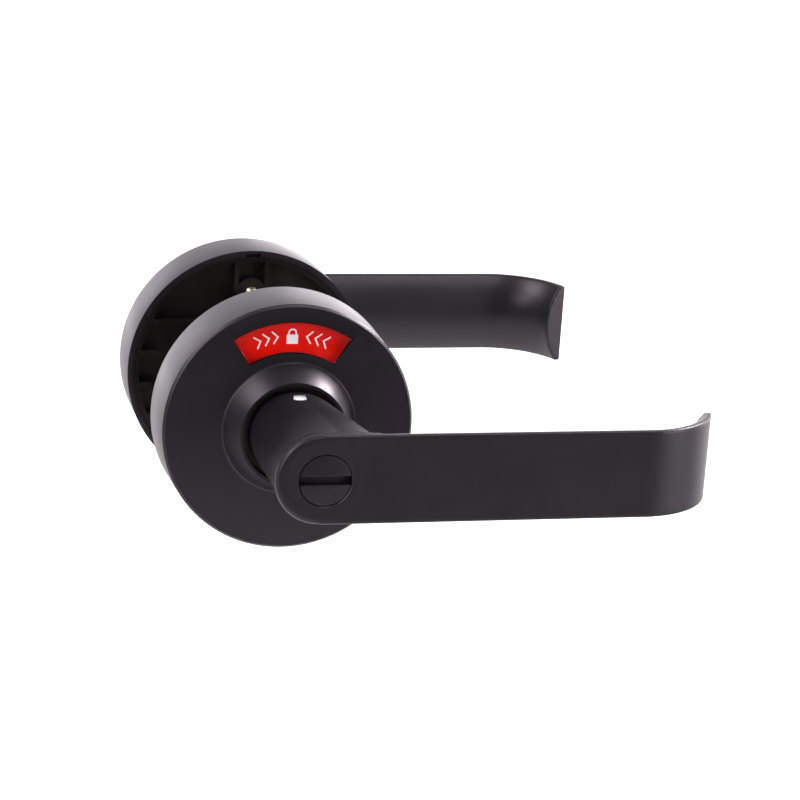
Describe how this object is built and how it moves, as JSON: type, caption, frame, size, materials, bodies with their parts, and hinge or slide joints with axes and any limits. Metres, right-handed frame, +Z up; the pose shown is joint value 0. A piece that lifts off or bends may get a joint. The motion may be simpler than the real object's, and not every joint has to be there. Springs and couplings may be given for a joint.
{
  "type": "privacy lever handle set with occupancy indicator",
  "caption": "Black privacy lever set: sprung levers on round roses either side of a door, coin release in the outer lever and a turning red or green occupancy window.",
  "frame": {"origin": "on the spindle axis, in the plane where the outside rose meets the outside face of the door", "axes": "+X along the levers, +Y through the door towards the inside, +Z up"},
  "size_m": [0.166, 0.1971, 0.08],
  "materials": {
    "black_metal": "satin black powder coat on die-cast metal",
    "black_plastic": "matt moulded",
    "clear_window": "clear acrylic",
    "red_label": "printed label",
    "green_label": "printed label",
    "bright_steel": "bright zinc plate",
    "yellow_zinc": "yellow passivated zinc plate on steel"
  },
  "bodies": {
    "trim": {"outside_rose": "black_metal", "outside_mount": "black_plastic", "window_lens": "clear_window", "outside_bush": "black_plastic", "outside_return_spring": "bright_steel", "inside_rose": "black_metal", "inside_mount": "black_plastic", "inside_bush": "black_plastic", "inside_return_spring": "bright_steel", "screw_posts": "bright_steel", "through_bolts": "yellow_zinc"},
    "outside_handle": {"outside_lever": "black_metal", "outside_spindle": "bright_steel", "outside_cam": "bright_steel", "outside_circlip": "bright_steel", "outside_catch_spring": "bright_steel"},
    "outside_release": {"outside_catch": "bright_steel"},
    "inside_handle": {"inside_lever": "black_metal", "inside_spindle": "bright_steel", "inside_cam": "bright_steel", "inside_circlip": "bright_steel", "inside_catch_spring": "bright_steel"},
    "inside_release": {"inside_catch": "bright_steel"},
    "lock": {"lock_shaft": "bright_steel", "release_turn": "black_metal", "release_clip": "bright_steel", "thumb_turn": "black_metal", "turn_clip": "bright_steel", "indicator_disc": "black_plastic", "indicator_pin": "bright_steel", "red_flag": "red_label", "green_flag": "green_label"}
  },
  "joints": [
    {"name": "outside_lever_turn", "type": "hinge", "parent": "trim", "child": "outside_handle", "pos_m": [0, 0, 0], "axis": [0, 1, 0], "range_deg": [-45, 45], "stiffness_Nm_per_rad": 4, "springref_deg": -2.58, "deforming": ["outside_return_spring"]},
    {"name": "inside_lever_turn", "type": "hinge", "parent": "trim", "child": "inside_handle", "pos_m": [0, 0.0445, 0], "axis": [0, 1, 0], "range_deg": [-45, 45], "stiffness_Nm_per_rad": 4, "springref_deg": -2.58, "deforming": ["inside_return_spring"]},
    {"name": "privacy_turn", "type": "hinge", "parent": "trim", "child": "lock", "pos_m": [0, 0, 0], "axis": [0, 1, 0], "range_deg": [0, 90]},
    {"name": "outside_catch_press", "type": "slide", "parent": "outside_handle", "child": "outside_release", "axis": [0, 0, -1], "range_m": [0, 0.0032], "stiffness_N_per_m": 800, "springref_m": -0.001, "deforming": ["outside_catch_spring"]},
    {"name": "inside_catch_press", "type": "slide", "parent": "inside_handle", "child": "inside_release", "axis": [0, 0, 1], "range_m": [0, 0.0032], "stiffness_N_per_m": 800, "springref_m": -0.001, "deforming": ["inside_catch_spring"]}
  ]
}
